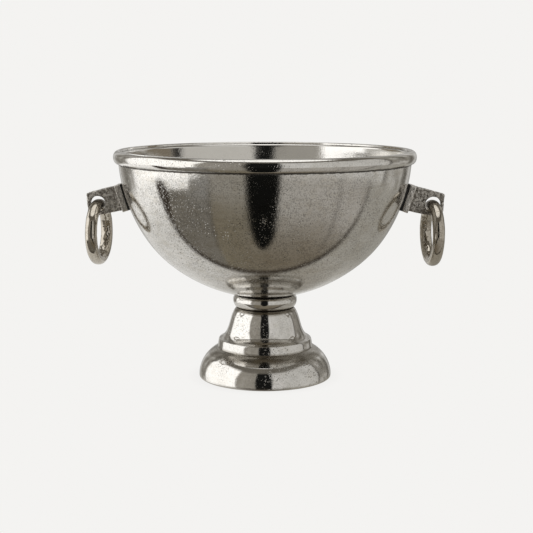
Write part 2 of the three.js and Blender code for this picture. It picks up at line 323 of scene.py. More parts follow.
BOWL = nickel("bowl_nickel", (0.80, 0.783, 0.75), (0.075, 0.064, 0.05), 0.066, 1.0, 1.3, 1.3, pit_size=0.31, pit_depth=0.00013, grain=2.5, speckle=0.70, joints=((0.2738, 0.2752), (0.0, 0.1074)), shell=True)
# painted shade: the recess ranges darken the hollows under the band, the lip and the collar
BRIGHT = nickel("bright_nickel", (0.80, 0.782, 0.75), (0.13, 0.114, 0.092), 0.062, 0.52, 1.4, 0.9, pit_size=0.30, pit_depth=0.00017, grain=1.5, speckle=0.38, joints=((0.0895, 0.0911), (0.1062, 0.1085), (0.2748, 0.2757)), shaded_recesses=((0.0300, 0.0402, 0.0590, 0.0722, 0.66), (0.0500, 0.0560, 0.0500, 0.0575, 0.25), (0.0862, 0.0900, 0.0340, 0.0410, 0.8), (0.0905, 0.0925, 0.0340, 0.0410, 0.7)))
# painted shade on the bar where it sits inside the lug's eye
RING = nickel("ring_nickel", (0.60, 0.556, 0.483), (0.12, 0.10, 0.08), 0.066, 0.60, 1.8, 0.0, pit_size=0.28, pit_depth=0.00014, grain=1.6, speckle=0.50, eye_shade=(0.2121, 0.2212, 0.0085, 0.0125))
CAST = cast("rough_cast_nickel")
STEEL = steel("screw_steel")
RUBBER = rubber("gasket_rubber")


# ---------------------------------------------------------------------------------------------------
# Mesh helpers, in millimetres in the CAD's own frame
# ---------------------------------------------------------------------------------------------------
def mesh_object(name, verts, faces, mat, smooth=True, scale=MM):
    me = bpy.data.meshes.new(name)
    me.from_pydata([(v[0] * scale, v[1] * scale, v[2] * scale) for v in verts], [], faces)
    me.validate()
    me.update()
    if smooth:
        me.polygons.foreach_set("use_smooth", [True] * len(me.polygons))
    me.materials.append(mat)
    o = bpy.data.objects.new(name, me)
    bpy.context.scene.collection.objects.link(o)
    return o


def spline(points, step=0.8):
    """A centripetal Catmull-Rom curve through the points, sampled about every step mm."""
    p = [np.array(q, float) for q in points]
    if len(p) == 2:
        n = max(1, int(np.linalg.norm(p[1] - p[0]) / step))
        return [tuple(p[0] + (p[1] - p[0]) * i / n) for i in range(n + 1)]
    p = [2 * p[0] - p[1]] + p + [2 * p[-1] - p[-2]]
    out = []
    for i in range(1, len(p) - 2):
        p0, p1, p2, p3 = p[i - 1 : i + 3]
        t0 = 0.0
        t1 = t0 + np.linalg.norm(p1 - p0) ** 0.5
        t2 = t1 + np.linalg.norm(p2 - p1) ** 0.5
        t3 = t2 + np.linalg.norm(p3 - p2) ** 0.5
        n = max(1, int(np.linalg.norm(p2 - p1) / step))
        for j in range(n):
            t = t1 + (t2 - t1) * j / n
            a1 = (t1 - t) / (t1 - t0) * p0 + (t - t0) / (t1 - t0) * p1
            a2 = (t2 - t) / (t2 - t1) * p1 + (t - t1) / (t2 - t1) * p2
            a3 = (t3 - t) / (t3 - t2) * p2 + (t - t2) / (t3 - t2) * p3
            b1 = (t2 - t) / (t2 - t0) * a1 + (t - t0) / (t2 - t0) * a2
            b2 = (t3 - t) / (t3 - t1) * a2 + (t - t1) / (t3 - t1) * a3
            out.append(tuple((t2 - t) / (t2 - t1) * b1 + (t - t1) / (t2 - t1) * b2))
    out.append(tuple(p[-2]))
    return out


def rounded(points, radius, closed, steps=4):
    """The polyline with each sharp corner turned into a small arc."""
    n = len(points)
    out = []
    for i, q in enumerate(points):
        if not closed and i in (0, n - 1):
            out.append(tuple(q))
            continue
        b = np.array(q, float)
        a, c = np.array(points[i - 1], float), np.array(points[(i + 1) % n], float)
        u, v = a - b, c - b
        lu, lv = np.linalg.norm(u), np.linalg.norm(v)
        if lu < 1e-6 or lv < 1e-6:
            continue
        u, v = u / lu, v / lv
        bend = math.pi - math.acos(max(-1.0, min(1.0, float(u @ v))))
        if bend < 0.30:
            out.append(tuple(b))
            continue
        d = min(radius * math.tan(bend / 2), lu * 0.48, lv * 0.48)
        s, e = b + u * d, b + v * d
        for j in range(steps + 1):
            t = j / steps
            out.append(tuple((1 - t) ** 2 * s + 2 * t * (1 - t) * b + t * t * e))
    return out


def revolve(name, profile, segments, mat, closed):
    """Turns a profile of (radius, height) round Z. Radius 0 closes on the axis."""
    verts, faces, rows = [], [], []
    for r, z in profile:
        if r < 1e-6:
            rows.append([len(verts)])
            verts.append((0.0, 0.0, z))
        else:
            rows.append(list(range(len(verts), len(verts) + segments)))
            for i in range(segments):
                a = 2 * math.pi * i / segments
                verts.append((r * math.cos(a), r * math.sin(a), z))
    pairs = list(zip(rows, rows[1:])) + ([(rows[-1], rows[0])] if closed else [])
    for lo, hi in pairs:
        for i in range(segments):
            j = (i + 1) % segments
            if len(lo) == 1 and len(hi) == 1:
                continue
            if len(lo) == 1:
                faces.append((lo[0], hi[j], hi[i]))
            elif len(hi) == 1:
                faces.append((lo[i], lo[j], hi[0]))
            else:
                faces.append((lo[i], lo[j], hi[j], hi[i]))
    return mesh_object(name, verts, faces, mat)


def outward(o):
    """Makes the faces of a closed mesh point out."""
    bm = bmesh.new()
    bm.from_mesh(o.data)
    bmesh.ops.recalc_face_normals(bm, faces=bm.faces)
    bm.to_mesh(o.data)
    bm.free()
    return o


def uneven(o, layers, keep=None):
    """Moves each point along its normal by soft noise: layers of (wavelength mm, height mm)."""
    me = o.data
    n = len(me.vertices)
    normals = np.empty(n * 3)
    me.vertices.foreach_get("normal", normals)
    co = np.empty(n * 3)
    me.vertices.foreach_get("co", co)
    normals, co = normals.reshape(-1, 3), co.reshape(-1, 3)
    move = np.zeros(n)
    for wave, height in layers:
        k = 1000.0 / wave
        move += np.array([noise.noise(Vector(p) * k + Vector((wave, 7.3, 1.9))) for p in co]) * height * MM
    if keep is not None:
        move *= keep(co / MM)
    me.vertices.foreach_set("co", (co + normals * move[:, None]).ravel())
    me.update()
    return o


def settle(o, *nodes, body="bucket", slot=None):
    """Puts a finished piece on its body, in place of the CAD nodes it stands for."""
    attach(o, body)
    if nodes:
        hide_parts(*nodes)
    return o


# ---------------------------------------------------------------------------------------------------
# Bowl
# ---------------------------------------------------------------------------------------------------
BOWL_R, BOWL_Z, WALL, LIP_Z = 184.1, 288.0, 3.5, 287.6


def bowl_radius(a):
    t = (math.degrees(a) - 48.0) / 14.0
    return BOWL_R + 1.4 * math.exp(-t * t)


def on_bowl(a, inset=0.0):
    r = bowl_radius(a) - inset
    return (r * math.sin(a), BOWL_Z - r * math.cos(a))


SEG = 288
lip_a = math.acos((BOWL_Z - LIP_Z) / BOWL_R)
boss_a = math.asin(21.0 / BOWL_R)
N = 96


def on_wall(a):
    """The inside of the wall. It opens out a little more towards the lip than the outside does."""
    r, z = on_bowl(a, WALL)
    d = max(0.0, BOWL_Z - z) / 20.0
    extra = 0.9 * d * math.exp(1.0 - d)
    return on_bowl(a, WALL + extra)


inner = [on_wall(lip_a * i / N) for i in range(N + 1)]
inner[0] = (0.0, inner[0][1])
inner[-1] = (inner[-1][0], LIP_Z)
outer = [on_bowl(lip_a + (boss_a - lip_a) * i / N) for i in range(N + 1)]
outer[0] = (outer[0][0], LIP_Z)
under = rounded([outer[-1], (21.0, 87.5), (5.05, 87.5), (5.05, 103.0), (0.0, 103.0)], 0.5, False)
bowl = revolve("bowl_casting", inner + outer + under[1:], SEG, BOWL, False)
outward(bowl)
# The hand-finished casting isn't quite true. The parts that meet other pieces stay where they are.
uneven(
    bowl,
    [(95.0, 0.34), (38.0, 0.10)],
    keep=lambda p: np.clip((p[:, 2] - 112.0) / 14.0, 0, 1) * np.clip((282.0 - p[:, 2]) / 10.0, 0, 1) * np.clip((np.hypot(np.abs(p[:, 0]) - 172.0, p[:, 1]) - 24.0) / 20.0, 0.15, 1),
)
settle(bowl, "bowl", slot="cast_nickel")

# Rim moulding
rim_in = BOWL_R - WALL
crown = spline(
    [(184.55, 275.25), (186.3, 275.35), (188.15, 276.7), (189.45, 279.3), (189.95, 282.4), (189.6, 285.6), (188.3, 288.4), (186.4, 290.15), (184.5, 290.88), (182.9, 290.98), (181.8, 290.72), (181.2, 290.15), (180.98, 289.3), (180.75, 288.4)],
    0.4,
)
rim_profile = crown + [(rim_in, 287.95), (BOWL_R + 0.35, 287.95)]
rim = revolve("rim_moulding", rounded(rim_profile, 0.25, True), SEG, BRIGHT, True)
outward(rim)
uneven(rim, [(60.0, 0.10), (19.0, 0.035)])
settle(rim, "rim_bead", slot="bright_nickel")

# ---------------------------------------------------------------------------------------------------
# Pedestal and collar
# ---------------------------------------------------------------------------------------------------
dome = spline(
    [(84.95, 1.3), (84.95, 4.0), (84.7, 7.4), (83.95, 11.0), (82.7, 15.2), (81.0, 19.2), (78.9, 23.0), (76.3, 26.8), (73.1, 30.2), (69.6, 33.4), (66.3, 35.8)],
    0.8,
)
cove = spline([(66.3, 35.8), (64.2, 37.0), (62.4, 37.9), (61.2, 38.6), (60.7, 39.7)], 0.4)
band = [(60.7, 39.7), (60.45, 42.4), (60.0, 45.8), (59.5, 48.2)]
lip = spline([(59.5, 48.2), (58.7, 49.6), (57.0, 50.5), (55.2, 51.5)], 0.4)
bell = spline(
    [(55.2, 51.5), (53.2, 53.3), (51.0, 55.9), (49.3, 58.9), (47.8, 62.2), (46.4, 66.4), (45.2, 70.4), (44.0, 74.6), (42.8, 78.6), (41.5, 81.9), (40.3, 84.6), (39.0, 86.8), (37.5, 88.6), (36.2, 89.9)],
    0.8,
)
hollow = spline(
    [(35.5, 77.0), (40.2, 68.5), (43.0, 59.5), (46.6, 52.8), (52.6, 46.8), (55.6, 38.4), (63.6, 32.4), (70.6, 26.2), (75.6, 19.0), (78.4, 11.0), (79.6, 3.0)],
    1.6,
)
outline = (
    [(79.9, 0.05), (84.0, 0.05), (84.75, 0.55)]
    + dome
    + cove[1:]
    + rounded(band, 0.3, False)[1:]
    + lip[1:]
    + bell[1:]
    + [(21.6, 90.0), (21.6, 86.2), (5.6, 86.2), (5.6, 77.0)]
    + hollow
)
pedestal = revolve("pedestal_casting", rounded(outline, 0.5, True), 256, BRIGHT, True)
outward(pedestal)
uneven(pedestal, [(46.0, 0.16), (17.0, 0.05)], keep=lambda p: np.clip((np.hypot(p[:, 0], p[:, 1]) - 36.0) / 3.0, 0, 1) * np.clip((p[:, 2] - 0.3) / 2.0, 0, 1))
settle(pedestal, "pedestal", slot="bright_nickel")


def under_bowl(r):
    return BOWL_Z - math.sqrt(BOWL_R * BOWL_R - r * r) - 0.35


knop = spline(
    [(36.1, 90.65), (37.5, 91.15), (38.9, 92.5), (40.0, 94.9), (40.8, 98.2), (40.8, 101.0), (40.2, 103.3), (39.2, 105.0), (37.8, 105.95), (35.5, 106.15)],
    0.5,
)
collar = revolve(
    "knop_collar",
    rounded(knop + [(35.2, under_bowl(35.2) - 0.1), (28.0, under_bowl(28.0) - 0.1), (21.6, under_bowl(21.6) - 0.1), (21.6, 90.65)], 0.3, True),
    256,
    BRIGHT,
    True,
)
outward(collar)
uneven(collar, [(30.0, 0.10), (11.0, 0.04)], keep=lambda p: np.clip((np.hypot(p[:, 0], p[:, 1]) - 37.5) / 1.5, 0, 1))
settle(collar, "collar", slot="bright_nickel")

# ---------------------------------------------------------------------------------------------------
# Lugs, gaskets, rings
# ---------------------------------------------------------------------------------------------------
LUG_A = math.radians(18.0)
SEAT = Vector((BOWL_R * math.cos(LUG_A), 0, BOWL_Z - BOWL_R * math.sin(LUG_A)))
LUG = Matrix.Translation(SEAT) @ Matrix.Rotation(LUG_A, 4, "Y")  # x outwards along the lug, z along the bowl
EYE, EYE_R, BLADE = (212.1, 222.2), 10.1, 14.6
FLANGE_BACK, FLANGE_T, FLANGE_W, FLANGE_H, FLANGE_UP = 2.4, 7.6, 28.0, 35.0, 0.6


def prism(outline, half):
    """A closed prism: an outline of (x, z) points, from y -half to half."""
    n = len(outline)
    verts = [(x, -half, z) for x, z in outline] + [(x, half, z) for x, z in outline]
    faces = [tuple(range(n)), tuple(range(2 * n - 1, n - 1, -1))]
    faces += [((i + 1) % n, i, n + i, n + (i + 1) % n) for i in range(n)]
    return verts, faces


def applied(o):
    """The object with its modifiers applied."""
    dg = bpy.context.evaluated_depsgraph_get()
    me = bpy.data.meshes.new_from_object(o.evaluated_get(dg))
    old = o.data
    o.modifiers.clear()
    o.data = me
    bpy.data.meshes.remove(old)
    return o


def lug(side):
    sign = 1 if side == "right" else -1
    blade = rounded(
        [(177.4, 214.8), (196.0, 211.0), (209.0, 208.3), (222.9, 205.7), (224.6, 214.0), (226.3, 235.4), (206.0, 241.0), (187.0, 245.7)],
        2.2,
        True,
        5,
    )
    parts = []
    verts, faces = prism(blade, BLADE / 2)
    body = mesh_object("lug_blade_" + side, verts, faces, CAST, smooth=False)
    bv = body.modifiers.new("edge", "BEVEL")
    bv.width, bv.segments, bv.limit_method, bv.angle_limit = 1.1 * MM, 3, "ANGLE", math.radians(40)
    applied(body)
    # The eye's cutter opens out at both faces, as a worn eye does.
    n = 48
    rows = [(-9.0, EYE_R + 1.9), (-7.3, EYE_R + 0.45), (-6.7, EYE_R + 0.1), (-5.8, EYE_R), (5.8, EYE_R), (6.7, EYE_R + 0.1), (7.3, EYE_R + 0.45), (9.0, EYE_R + 1.9)]
    cv = [(EYE[0] + r * math.cos(2 * math.pi * i / n), y, EYE[1] + r * math.sin(2 * math.pi * i / n)) for y, r in rows for i in range(n)]
    cf = [(j * n + i, j * n + (i + 1) % n, (j + 1) * n + (i + 1) % n, (j + 1) * n + i) for j in range(len(rows) - 1) for i in range(n)]
    cf += [tuple(range(n - 1, -1, -1)), tuple((len(rows) - 1) * n + i for i in range(n))]
    cutter = outward(mesh_object("eye_cutter", cv, cf, CAST, smooth=False))
    cut = body.modifiers.new("eye", "BOOLEAN")
    cut.operation, cut.object, cut.solver = "DIFFERENCE", cutter, "EXACT"
    outward(body)
    applied(body)
    bpy.data.objects.remove(cutter)
    # Flange with softened edges
    h, w = FLANGE_H / 2, FLANGE_W / 2
    ring = rounded([(-w, -h), (w, -h), (w, h), (-w, h)], 1.8, True, 4)
    # LUG is in millimetres here, as SEAT is
    fv = [tuple(LUG @ Vector((reach, y, z + FLANGE_UP))) for reach in (FLANGE_BACK, FLANGE_BACK + FLANGE_T) for y, z in ring]
    m = len(ring)
    ff = [tuple(range(m)), tuple(range(2 * m - 1, m - 1, -1))] + [((i + 1) % m, i, m + i, m + (i + 1) % m) for i in range(m)]
    flange = outward(mesh_object("lug_flange_" + side, fv, ff, CAST, smooth=False))
    bv = flange.modifiers.new("edge", "BEVEL")
    bv.width, bv.segments, bv.limit_method, bv.angle_limit = 0.8 * MM, 3, "ANGLE", math.radians(40)
    applied(flange)
    # Cast as one: blade and flange joined, then reworked into one even skin
    join = body.modifiers.new("flange", "BOOLEAN")
    join.operation, join.object, join.solver = "UNION", flange, "EXACT"
    applied(body)
    bpy.data.objects.remove(flange)
    skin = body.modifiers.new("skin", "REMESH")
    skin.mode, skin.voxel_size, skin.use_smooth_shade = "VOXEL", 0.48 * MM, True
    ease = body.modifiers.new("ease", "SMOOTH")
    ease.factor, ease.iterations = 0.5, 6
    applied(body)
    if sign < 0:
        body.data.transform(Matrix.Rotation(math.pi, 4, "Z"))
    outward(body)
    body.data.polygons.foreach_set("use_smooth", [True] * len(body.data.polygons))

    def loose(p):
        # quiet near the eye, which the ring works smooth, and on the flange's seat
        d = np.hypot(np.abs(p[:, 0]) - EYE[0], p[:, 2] - EYE[1])
        away = (np.abs(p[:, 0]) - SEAT.x) * math.cos(LUG_A) - (p[:, 2] - SEAT.z) * math.sin(LUG_A)
        return np.clip((d - EYE_R - 0.6) / 2.0, 0.0, 1) * np.clip((away - FLANGE_BACK - 0.4) / 1.5, 0, 1)

    uneven(body, [(9.0, 0.30), (3.2, 0.26), (1.5, 0.12)], keep=loose)
    body.name = "lug_casting_" + side
    settle(body, "lug_" + side, slot="rough_nickel")
    return body


RING_OUTER, RING_RAD, RING_AX, PIVOT_Z = 42.1, 6.62, 7.5, 221.2
RING_TWIST = math.radians(7.0)


def ring(side):
    sign = 1 if side == "right" else -1
    nu, nv = ((240, 44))
    centre = RING_OUTER - 6.7
    verts, faces = [], []
    for i in range(nu):
        u = 2 * math.pi * i / nu
        for j in range(nv):
            v = 2 * math.pi * j / nv
            c, s = math.cos(v), math.sin(v)
            e = 2 / 2.15
            r = centre + RING_RAD * math.copysign(abs(c) ** e, c) * 0.995
            a = RING_AX * math.copysign(abs(s) ** e, s) * 0.995
            # the ring's axis lies along x before it is turned
            verts.append((a, r * math.sin(u), PIVOT_Z - centre + r * math.cos(u)))
    for i in range(nu):
        for j in range(nv):
            faces.append((i * nv + j, i * nv + (j + 1) % nv, ((i + 1) % nu) * nv + (j + 1) % nv, ((i + 1) % nu) * nv + j))
    o = mesh_object("ring_handle_" + side, verts, faces, RING)
    o.data.transform(Matrix.Translation((sign * EYE[0] * MM, 0, 0)) @ Matrix.Rotation(sign * RING_TWIST, 4, "Z"))
    outward(o)
    top = Vector((sign * EYE[0], 0, PIVOT_Z))
    away = lambda p: np.clip((np.linalg.norm(p - np.array(top), axis=1) - 10.0) / 12.0, 0.0, 1)
    uneven(o, [(34.0, 0.30), (13.0, 0.16), (6.0, 0.05)], keep=away)
    # the side that faces the ring's centre was left as it came from the sand
    along = np.array((-math.sin(sign * RING_TWIST), math.cos(sign * RING_TWIST), 0.0))

    def inner_side(p):
        q = p - np.array((sign * EYE[0], 0.0, PIVOT_Z - centre))
        return np.clip((centre - 1.0 - np.hypot(q @ along, q[:, 2])) / 2.5, 0.0, 1) * away(p)

    uneven(o, [(4.2, 0.50), (2.0, 0.20)], keep=inner_side)
    settle(o, "ring_" + side, body=side + "_ring", slot="bright_nickel")
    return o


for side in ("left", "right"):
    lug(side)
    ring(side)


# ---------------------------------------------------------------------------------------------------
# Fasteners
# ---------------------------------------------------------------------------------------------------
def washer(name, node, r0, r1, z0, z1, place, seg=64, spread=0.0):
    """A stamped washer. spread opens a slanting split in it."""
    prof = rounded([(r0, z0), (r1, z0), (r1, z1), (r0, z1)], 0.22, True, 3)
    if not spread:
        o = revolve(name, prof, seg, STEEL, True)
    else:
        verts, faces, m = [], [], len(prof)
        for i in range(seg + 1):
            for r, z in prof:
                half = spread / (2 * r)
                slant = (z - (z0 + z1) / 2) * math.tan(math.radians(25)) / r
                # every point keeps the cut's slant, so both ends do
                t = i / seg
                a0, a1 = half - slant, 2 * math.pi - half - slant
                a = a0 + (a1 - a0) * t
                verts.append((r * math.cos(a), r * math.sin(a), z))
        for i in range(seg):
            for j in range(m):
                faces.append((i * m + j, i * m + (j + 1) % m, (i + 1) * m + (j + 1) % m, (i + 1) * m + j))
        faces += [tuple(range(m)), tuple(range((seg + 1) * m - 1, seg * m - 1, -1))]
        o = mesh_object(name, verts, faces, STEEL)
    o.data.transform(place)
    outward(o)
    settle(o, node, slot="fastener_steel")
    return o


def in_mm(m):
    """A millimetre placement as a metre one."""
    m = m.copy()
    m.translation *= MM
    return m


def threaded(r0, z0, z1, pitch, depth):
    """Profile points of a threaded shank from z0 up to z1, as rings."""
    out = []
    n = int((z1 - z0) / pitch)
    for i in range(n):
        z = z0 + i * pitch
        out += [(r0 - depth, z), (r0 - depth, z + pitch * 0.12), (r0, z + pitch * 0.45), (r0, z + pitch * 0.6)]
    out.append((r0 - depth, z0 + n * pitch))
    return out


def cut(o, cutter):
    c = o.modifiers.new("cut", "BOOLEAN")
    c.operation, c.object, c.solver = "DIFFERENCE", cutter, "EXACT"
    applied(o)
    bpy.data.objects.remove(cutter)
    return o


def block(name, x, y, z):
    """A box between the given limits."""
    v = [(a, b, z[0]) for a in x for b in y] + [(a, b, z[1]) for a in x for b in y]
    f = [(0, 1, 3, 2), (4, 6, 7, 5), (0, 4, 5, 1), (2, 3, 7, 6), (0, 2, 6, 4), (1, 5, 7, 3)]
    return outward(mesh_object(name, v, f, STEEL, smooth=False))


def by_angle(o, degrees=32):
    """Smooth shading that keeps the sharp edges."""
    o.data.polygons.foreach_set("use_smooth", [True] * len(o.data.polygons))
    o.data.set_sharp_from_angle(angle=math.radians(degrees))
    return o


SCREW_R, SCREW_LEN, HEAD_R, HEAD_H, WASH_R, WASH_T, GAP = 2.9, 18.0, 5.4, 3.6, 7.2, 1.2, 0.35
WASHER_SEAT = -(WALL + 9.5 * 9.5 / (2 * BOWL_R)) - 1.35
for side in ("left", "right"):
    turn = Matrix.Rotation(math.pi if side == "left" else 0.0, 4, "Z")
    for level, up, twist in (("lower", -9.5, 23.0), ("upper", 9.5, -38.0)):
        place = turn @ LUG @ Matrix.Translation((WASHER_SEAT, 0, up)) @ Matrix.Rotation(math.pi / 2, 4, "Y")
        washer("washer_" + side + "_" + level, "lug_washer_" + side + "_" + level, 3.25, WASH_R, -WASH_T, 0.0, in_mm(place), 56)
        dome_head = spline([(0.0, -HEAD_H), (1.7, -HEAD_H * 0.985), (3.3, -HEAD_H * 0.86), (4.6, -HEAD_H * 0.58), (HEAD_R, -HEAD_H * 0.16)], 0.35)
        dome_head[0] = (0.0, -HEAD_H)
        prof = dome_head + [(HEAD_R, 0.0), (SCREW_R - 0.35, 0.0)] + threaded(SCREW_R, 3.0, SCREW_LEN - 1.4, 1.0, 0.32) + [(SCREW_R - 1.0, SCREW_LEN), (0.0, SCREW_LEN)]
        screw = outward(revolve("screw_" + side + "_" + level, prof, 56, STEEL, False))
        cut(screw, block("slot", (-7.0, 7.0), (-0.62, 0.62), (-HEAD_H - 1.0, -HEAD_H + 1.75)))
        by_angle(screw)
        screw.data.transform(in_mm(place @ Matrix.Translation((0, 0, -WASH_T - GAP)) @ Matrix.Rotation(math.radians(twist), 4, "Z")))
        settle(screw, "lug_screw_" + side + "_" + level, slot="fastener_steel")

WEB = 77.0
SPRING_TOP = WEB - GAP - 2.0 - GAP
HEAD_TOP = SPRING_TOP - 2.4 - GAP
washer("foot_washer_plain", "foot_washer", 5.5, 15.0, WEB - GAP - 2.0, WEB - GAP, Matrix.Identity(4), 72)
washer("foot_washer_split", "foot_spring_washer", 5.4, 9.0, SPRING_TOP - 2.4, SPRING_TOP, Matrix.Identity(4), 72, spread=1.0)


def hex_bolt():
    seg, apothem = 120, 9.8 * math.cos(math.pi / 6)
    rows = []

    def level(z, reach, hexed):
        row = []
        for i in range(seg):
            a = 2 * math.pi * i / seg
            h = apothem / math.cos((a - math.pi / 2 + math.pi / 6) % (math.pi / 3) - math.pi / 6)
            r = min(h, reach) if hexed else reach
            row.append((r * math.cos(a), r * math.sin(a), z))
        rows.append(row)

    low = HEAD_TOP - 6.4
    level(low, 7.9, True)
    level(low + 0.15, 8.3, True)
    for t in range(1, 7):
        level(low + 0.15 + 0.14 * t, 8.3 + 0.26 * t, True)
    level(HEAD_TOP - 0.4, 9.8, True)
    level(HEAD_TOP, 9.5, True)
    for r, z in [(4.35, HEAD_TOP)] + threaded(4.7, HEAD_TOP + 8.0, 99.6, 1.5, 0.5) + [(3.4, 101.5)]:
        level(z, r, False)
    verts = [v for row in rows for v in row]
    faces = [(j * seg + i, j * seg + (i + 1) % seg, (j + 1) * seg + (i + 1) % seg, (j + 1) * seg + i) for j in range(len(rows) - 1) for i in range(seg)]
    faces += [tuple(range(seg - 1, -1, -1)), tuple((len(rows) - 1) * seg + i for i in range(seg))]
    o = outward(mesh_object("foot_bolt_hex", verts, faces, STEEL))
    by_angle(o)
    settle(o, "foot_bolt", slot="fastener_steel")


hex_bolt()


def gasket(side):
    """Sheet rubber: flat against the flange, hollowed to the bowl behind."""
    w, h, n = (FLANGE_W - 0.6) / 2, (FLANGE_H - 0.6) / 2, 24
    edge = rounded([(-w, -h), (w, -h), (w, h), (-w, h)], 1.8, True, 4)
    m = len(edge)

    def back(y, z):
        return math.sqrt(max(0.0, (BOWL_R + GAP + 0.05) ** 2 - y * y - (z + FLANGE_UP) ** 2)) - BOWL_R

    verts, faces = [], []
    # concentric loops from the edge to the middle, on the back and then on the front
    loops = [1.0, 0.97, 0.86, 0.7, 0.52, 0.34, 0.16]
    for front in (False, True):
        for f in loops:
            for y, z in edge:
                y, z = y * f, z * f
                verts.append((GAP + 1.7 if front else back(y, z) + (0.12 if f == 1.0 else 0), y, z + FLANGE_UP))
        verts.append((GAP + 1.7 if front else back(0, 0), 0, FLANGE_UP))
    half = len(loops) * m + 1
    for base, flip in ((0, False), (half, True)):
        for j in range(len(loops) - 1):
            for i in range(m):
                q = (base + j * m + i, base + j * m + (i + 1) % m, base + (j + 1) * m + (i + 1) % m, base + (j + 1) * m + i)
                faces.append(q[::-1] if flip else q)
        for i in range(m):
            t = (base + (len(loops) - 1) * m + i, base + (len(loops) - 1) * m + (i + 1) % m, base + len(loops) * m)
            faces.append(t[::-1] if flip else t)
    faces += [(i, half + i, half + (i + 1) % m, (i + 1) % m) for i in range(m)]
    o = mesh_object("gasket_" + side, verts, faces, RUBBER)
    # the screws' holes
    for up in (-9.5, 9.5):
        k = 32
        cv = [(x, 3.25 * math.cos(2 * math.pi * i / k), up + 3.25 * math.sin(2 * math.pi * i / k)) for x in (-6.0, 6.0) for i in range(k)]
        cf = [tuple(range(k)), tuple(range(2 * k - 1, k - 1, -1))] + [((i + 1) % k, i, k + i, k + (i + 1) % k) for i in range(k)]
        outward(o)
        cut(o, outward(mesh_object("hole", cv, cf, RUBBER, smooth=False)))
    by_angle(o)
    turn = Matrix.Rotation(math.pi if side == "left" else 0.0, 4, "Z")
    o.data.transform(in_mm(turn @ LUG))
    outward(o)
    settle(o, "lug_gasket_" + side, slot="gasket_rubber")


gasket("left")
gasket("right")

# ---------------------------------------------------------------------------------------------------
# Studio: pale floor, and soft panels that only the metal sees
# ---------------------------------------------------------------------------------------------------
PALE = (0.904, 0.896, 0.880)


def plane(name, half, z):
    v = [(-half, -half, z), (half, -half, z), (half, half, z), (-half, half, z)]
    me = bpy.data.meshes.new(name)
    me.from_pydata(v, [], [(0, 1, 2, 3)])
    o = bpy.data.objects.new(name, me)
    bpy.context.scene.collection.objects.link(o)
    return o


def glow(name, build):
    m = bpy.data.materials.new(name)
    m.use_nodes = True
    k = Nodes(m.node_tree)
    e = k.new("ShaderNodeEmission")
    out = k.new("ShaderNodeOutputMaterial")
    m.node_tree.links.new(e.outputs[0], out.inputs[0])
    k.put(build(k, k.new("ShaderNodeTexCoord").outputs["Object"]), e.inputs["Color"])
    return m


def floor_colour(k, at):
    x, y, z = k.xyz(at)
    r = k.math("SQRT", k.add(k.mul(x, x), k.mul(y, y)))
    # painted shadow: the floor is a little darker round the foot
    return k.mix(k.step(r, 0.078, 0.105), tuple(c * 0.955 for c in PALE), PALE)


floor = plane("studio_floor", 8.0, -0.0004)
floor.data.materials.append(glow("pale_floor", floor_colour))
floor.visible_glossy = False
floor.visible_transmission = False


